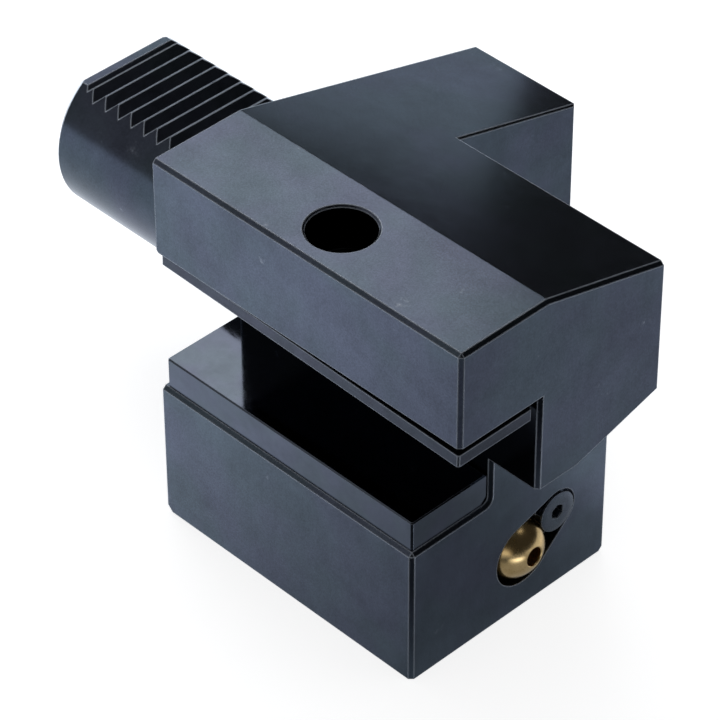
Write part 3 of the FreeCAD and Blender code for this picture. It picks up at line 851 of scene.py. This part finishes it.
@dataclass
class Fasteners:
    """Every screw and channel plug of the holder."""

    plug_socket_share: float = 0.6

    def screws(self) -> list[SocketScrew]:
        """The screws and plugs with their real sizes."""
        plugs = (
            ("side_channel_plug", "side_plug", Heading.RIGHT, 6.0),
            ("base_channel_plug", "bottom_plug", Heading.DOWN, 6.0),
            ("shank_channel_plug", "shank_plug", Heading.REARWARD, 6.0),
            ("spare_channel_plug", "spare_port_plug", Heading.REARWARD, 4.0),
        )
        made: list[SocketScrew] = [
            SocketScrew(
                name, node, "holder", heading, key_width=key * MM,
                socket_depth=key * self.plug_socket_share * MM, rim=0.6 * MM,
                thread_start=0.4 * MM, thread_end=math.inf, thread_pitch=1.25 * MM)
            for name, node, heading, key in plugs
        ]
        for end in ("rear", "front"):
            made.append(SocketScrew(
                f"pad_cap_screw_{end}", f"pad_screw_{end}", "holder", Heading.DOWN, key_width=5.0 * MM,
                socket_depth=3.0 * MM, rim=0.5 * MM, stem_radius=3.0 * MM, head_height=6.0 * MM,
                knurls=56, knurl_depth=0.16 * MM, columns=336))
        made.append(SocketScrew(
            "nozzle_flat_screw", "nozzle_screw", "nozzle_screw", Heading.FORWARD, key_width=3.0 * MM,
            socket_depth=2.0 * MM, rim=0.12 * MM, stem_radius=2.5 * MM, head_height=0.4 * MM,
            taper=2.2 * MM))
        # The clamp screw takes the nearly black finish that carries the bore's painted shade.
        made.append(ClampScrew(
            "clamp_screw_threaded", "clamp_screw", "clamp_screw", Heading.UP, key_width=8.0 * MM,
            socket_depth=5.5 * MM, rim=0.8 * MM, thread_start=0.5 * MM, thread_end=8.3 * MM,
            thread_pitch=1.5 * MM, thread_depth=0.8 * MM, finish=SHADED_SCREW_FINISH))
        return made

    def build(self) -> list[bpy.types.Object]:
        """Makes them all."""
        return [screw.build() for screw in self.screws()]


@dataclass
class KeptSolids:
    """The CAD nodes that keep their own shape, with the finish of each."""

    def finishes(self) -> dict[str, object]:
        """The finish of each node that stays."""
        return {
            "holder_body": BODY_FINISH,
            "support_pad": PAD_FINISH,
            "clamp_plate": PLATE_FINISH,
            "pad_pin_rear": BRIGHT_FINISH,
            "pad_pin_front": BRIGHT_FINISH,
            "retaining_ring": BRIGHT_FINISH,
            "nozzle_seat": BRASS_FINISH,
            "nozzle_seal": RUBBER_FINISH,
            "shank_seal": RUBBER_FINISH,
            "inlet_seal": RUBBER_FINISH,
        }

    def build(self) -> list[bpy.types.Object]:
        """Gives each node its material."""
        nodes = []
        for name, finish in self.finishes().items():
            node = frame["nodes"][name]
            material = material_of(finish)
            for place in node.material_slots:
                place.material = material
            nodes.append(node)
        return nodes


_materials: dict[str, bpy.types.Material] = {}


def material_of(finish: object) -> bpy.types.Material:
    """The material of a finish, built once."""
    if finish.name not in _materials:
        _materials[finish.name] = finish.build()
    return _materials[finish.name]


def dress(piece: bpy.types.Object, finish: object, body: str) -> None:
    """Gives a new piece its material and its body.

    Args:
        piece: the piece.
        finish: its finish.
        body: the CAD body that it rides on.
    """
    piece.data.materials.append(material_of(finish))
    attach(piece, body)


@dataclass(frozen=True)
class Softbox:
    """A rectangular studio lamp, set by its direction from an aimed point and moved by its offset."""

    name: str
    azimuth: float
    elevation: float
    distance: float
    width: float
    height: float
    radiance: float
    colour: Colour = (1.0, 1.0, 1.0)
    offset: Triple = (0.0, 0.0, 0.0)
    in_reflections: bool = True

    def build(self, aim: Vector) -> bpy.types.Object:
        """Makes the lamp.

        Args:
            aim: the point that it would face without its offset.

        Returns:
            The lamp, whose power is its radiance times pi times its area.
        """
        data = bpy.data.lights.new(self.name, "AREA")
        data.shape = "RECTANGLE"
        data.size = self.width
        data.size_y = self.height
        data.energy = self.radiance * math.pi * self.width * self.height
        data.color = self.colour
        lamp = bpy.data.objects.new(self.name, data)
        bpy.context.scene.collection.objects.link(lamp)
        back = sight_line(self.azimuth, self.elevation)
        lamp.location = aim + Vector(self.offset) + back * self.distance
        lamp.visible_camera = False
        lamp.visible_glossy = self.in_reflections
        lamp.rotation_mode = "QUATERNION"
        lamp.rotation_quaternion = back.to_track_quat("Z", "Y")
        return lamp


def sight_line(azimuth: float, elevation: float) -> Vector:
    """Direction from the object towards a viewer; azimuth 0 stands at minus Y and 90 at plus X."""
    turn = math.radians(azimuth)
    rise = math.radians(elevation)
    return Vector((math.sin(turn) * math.cos(rise), -math.cos(turn) * math.cos(rise), math.sin(rise)))


def ray_kinds(graph: Graph) -> tuple[Term, Term]:
    """Terms that are 1 for rays from the camera, and for mirrored rays and rays through glass."""
    path = graph.node("ShaderNodeLightPath")
    seen = Term(graph, path.outputs["Is Camera Ray"])
    mirrored = Term(graph, path.outputs["Is Glossy Ray"]) + Term(graph, path.outputs["Is Transmission Ray"])
    return seen, mirrored


@dataclass(frozen=True)
class FloorGlow:
    """Painted light and shade: how brightly the floor shows in reflections, which gives each standing face
    its tone.

    Places are metres along the frame's axes. Each span runs from the place where an area's edge begins
    to the place where it is full.
    """

    colour: Colour = (0.85, 0.91, 1.0)
    strength: float = 1.08
    # Painted pools of light in reflections: the base and the rear, right and strip gains.
    base: float = 0.38
    rear_gain: float = 0.66
    rear: Span = (0.075, -0.045)
    right_gain: float = 0.12
    right: Span = (0.0, 0.04)
    # Painted shadow on the floor in front of the block.
    painted_shadow_dip: float = 0.14
    dip_front: Span = (0.062, 0.078)
    dip_left: Span = (0.02, -0.01)
    strip_gain: float = 0.28
    strip_left: Span = (0.014, 0.030)
    strip_right: Span = (0.070, 0.050)
    strip_front: Span = (0.115, 0.098)
    # Painted shadow in the corner by the block's front left edge.
    painted_corner_shadow: float = 0.80
    corner_rear: Span = (0.070, 0.095)
    corner_right: Span = (-0.035, -0.055)
    corner_left: Span = (-0.108, -0.085)
    # Painted pool of light that the brass ball mirrors.
    painted_light_patch_gain: float = 1.5
    patch_centre: Span = (0.128, -0.038)
    patch_edge: Span = (0.031, 0.013)

    def build(self, graph: Graph) -> bpy.types.NodeSocket:
        """Makes the glow.

        Args:
            graph: the floor's node tree.

        Returns:
            The shader: the base with the rear, right and strip pools of painted light and a painted shadow
                in front of the block, lowered by a painted shadow in the corner by the block's front left
                edge, with the painted pool of light that the brass ball mirrors.
        """
        x, y, _ = graph.axes()
        # Painted pools of light at the rear and to the right.
        lit = self.base + self.rear_gain * x.step(*self.rear) + self.right_gain * y.step(*self.right)
        # Painted shadow in front of the block.
        lit = lit - self.painted_shadow_dip * x.step(*self.dip_front) * y.step(*self.dip_left)
        # Painted pool of light along a strip in front.
        strip = y.step(*self.strip_left) * y.step(*self.strip_right) * x.step(*self.strip_front)
        lit = lit + self.strip_gain * strip
        corner = x.step(*self.corner_rear) * y.step(*self.corner_right) * y.step(*self.corner_left)
        patch = distance_from(self.patch_centre, x, y).step(*self.patch_edge)
        # Painted shadow in the corner and a painted pool of light for the ball.
        lit = lit * (1.0 - self.painted_corner_shadow * corner) + self.painted_light_patch_gain * patch
        return graph.node("ShaderNodeEmission", None, {
            "Color": self.colour, "Strength": self.strength * lit}).outputs[0]


@dataclass(frozen=True)
class Backdrop:
    """The world's strength in reflections, and as a fill for every other ray.

    A glow's span runs between two cosines of the angle from its direction.
    """

    dark: float = 0.02
    left_gain: float = 0.28
    left_direction: Span = (-math.sqrt(0.5), -math.sqrt(0.5))
    left: Span = (0.35, 0.85)
    front_gain: float = 0.55
    front_direction: Span = (0.54, -0.84)
    front: Span = (0.90, 0.99)
    ceiling_gain: float = 0.30
    ceiling: Span = (0.86, 0.97)
    fill: float = 0.35

    def mirrored_tone(self, graph: Graph) -> Term:
        """The dark backdrop with its glows from the rear left, the front left and the ceiling."""
        east, north, up = graph.axes()
        left = east * self.left_direction[0] + north * self.left_direction[1]
        front = east * self.front_direction[0] + north * self.front_direction[1]
        tone = self.dark + self.left_gain * left.step(*self.left) + self.front_gain * front.step(*self.front)
        return tone + self.ceiling_gain * up.step(*self.ceiling)


@dataclass
class Studio:
    """Floor, world, lamps and camera."""

    aim: Vector
    floor_height: float
    camera_azimuth: float = 45.84
    camera_elevation: float = 39.76
    camera_distance: float = 0.800
    camera_roll: float = -0.24
    camera_lens: float = 196.8
    sensor_width: float = 36.0
    clip_start: float = 0.02
    clip_end: float = 50.0
    floor_size: float = 6.0
    floor_tint: Colour = (0.50, 0.505, 0.515)
    floor_seen: float = 0.80
    # Painted light and shade that the floor shows in reflections.
    floor_glow: FloorGlow = FloorGlow()
    backdrop: Backdrop = Backdrop()

    def camera(self) -> bpy.types.Object:
        """Makes the camera at the picture's viewing angle."""
        data = bpy.data.cameras.new("camera")
        data.sensor_width = self.sensor_width
        data.lens = self.camera_lens
        data.clip_start = self.clip_start
        data.clip_end = self.clip_end
        camera = bpy.data.objects.new("camera", data)
        bpy.context.scene.collection.objects.link(camera)
        back = sight_line(self.camera_azimuth, self.camera_elevation)
        turn = math.radians(self.camera_azimuth)
        roll = math.radians(self.camera_roll)
        level = Vector((math.cos(turn), math.sin(turn), 0.0))
        right = level * math.cos(roll) + back.cross(level) * math.sin(roll)
        up = back.cross(right)
        camera.matrix_world = Matrix.Translation(self.aim + back * self.camera_distance) @ Matrix(
            (right, up, back)).transposed().to_4x4()
        bpy.context.scene.camera = camera
        return camera

    def floor(self) -> bpy.types.Object:
        """Makes the pale floor, white to the camera except for the object's shadow."""
        half = self.floor_size / 2
        corners = np.array(((-half, -half), (half, -half), (half, half), (-half, half)))
        points = np.column_stack((corners, np.full(4, self.floor_height)))
        floor = make_object("floor", points, [(0, 1, 2, 3)], sharp_degrees=30.0)
        material = bpy.data.materials.new("pale_floor")
        graph = Graph(material)
        graph.shader.inputs["Base Color"].default_value = (*self.floor_tint, 1.0)
        graph.shader.inputs["Roughness"].default_value = 0.9
        graph.shader.inputs["Specular IOR Level"].default_value = 0.0
        seen, mirrored = ray_kinds(graph)
        graph.feed(graph.shader.inputs["Emission Strength"], seen * self.floor_seen)
        graph.shader.inputs["Emission Color"].default_value = (1.0, 1.0, 1.0, 1.0)
        # Reflections see the floor's painted light and shade in place of its lit colour.
        blend = graph.node("ShaderNodeMixShader", None, {
            0: mirrored, 1: graph.shader.outputs[0], 2: self.floor_glow.build(graph)})
        graph.feed(graph.output.inputs["Surface"], blend.outputs[0])
        floor.data.materials.append(material)
        return floor

    def world(self) -> None:
        """Makes the world: white to the camera, a dark backdrop in reflections and a soft fill elsewhere."""
        world = bpy.data.worlds.new("studio")
        graph = Graph(world, "ShaderNodeOutputWorld", "ShaderNodeBackground")
        seen, mirrored = ray_kinds(graph)
        other = 1.0 - (seen + mirrored)
        strength = seen + self.backdrop.mirrored_tone(graph) * mirrored + self.backdrop.fill * other
        graph.shader.inputs["Color"].default_value = (1.0, 1.0, 1.0, 1.0)
        graph.feed(graph.shader.inputs["Strength"], strength)
        bpy.context.scene.world = world

    def lamps(self) -> list[bpy.types.Object]:
        """Makes the softboxes: the key, the low panel behind, one for the ball's top and a fill."""
        boxes = (
            Softbox("key_softbox", azimuth=225.8, elevation=45.0, distance=1.0, width=0.75, height=0.40,
                    radiance=1.70, offset=(-0.210, -0.214, 0.0)),
            Softbox("low_panel", azimuth=225.6, elevation=0.0, distance=0.12, width=0.36, height=0.12,
                    radiance=0.62, colour=(0.76, 0.88, 1.0), offset=(-0.1132, -0.0656, 0.0211)),
            Softbox("top_softbox", azimuth=131.0, elevation=60.0, distance=1.0, width=0.35, height=0.35,
                    radiance=0.75),
            Softbox("floor_fill", azimuth=235.0, elevation=60.0, distance=1.2, width=0.9, height=0.9,
                    radiance=1.2, in_reflections=False),
        )
        return [box.build(self.aim) for box in boxes]

    def build(self) -> None:
        """Makes the whole studio."""
        self.camera()
        self.floor()
        self.world()
        self.lamps()
        bpy.context.scene.view_settings.view_transform = "Standard"


def main() -> None:
    """Builds the studio and the holder."""
    logging.basicConfig(level=logging.INFO, format="%(name)s: %(message)s")
    studio = Studio(aim=CAMERA_AIM, floor_height=CAD_BOUNDS[0].z)
    studio.build()
    for group in (KeptSolids(), Fasteners(), CoolantNozzle(), SpringWasher()):
        for piece in group.build():
            log.info("%s: %s, %d faces", type(group).__name__, piece.name, len(piece.data.polygons))


if __name__ == "__main__":
    main()
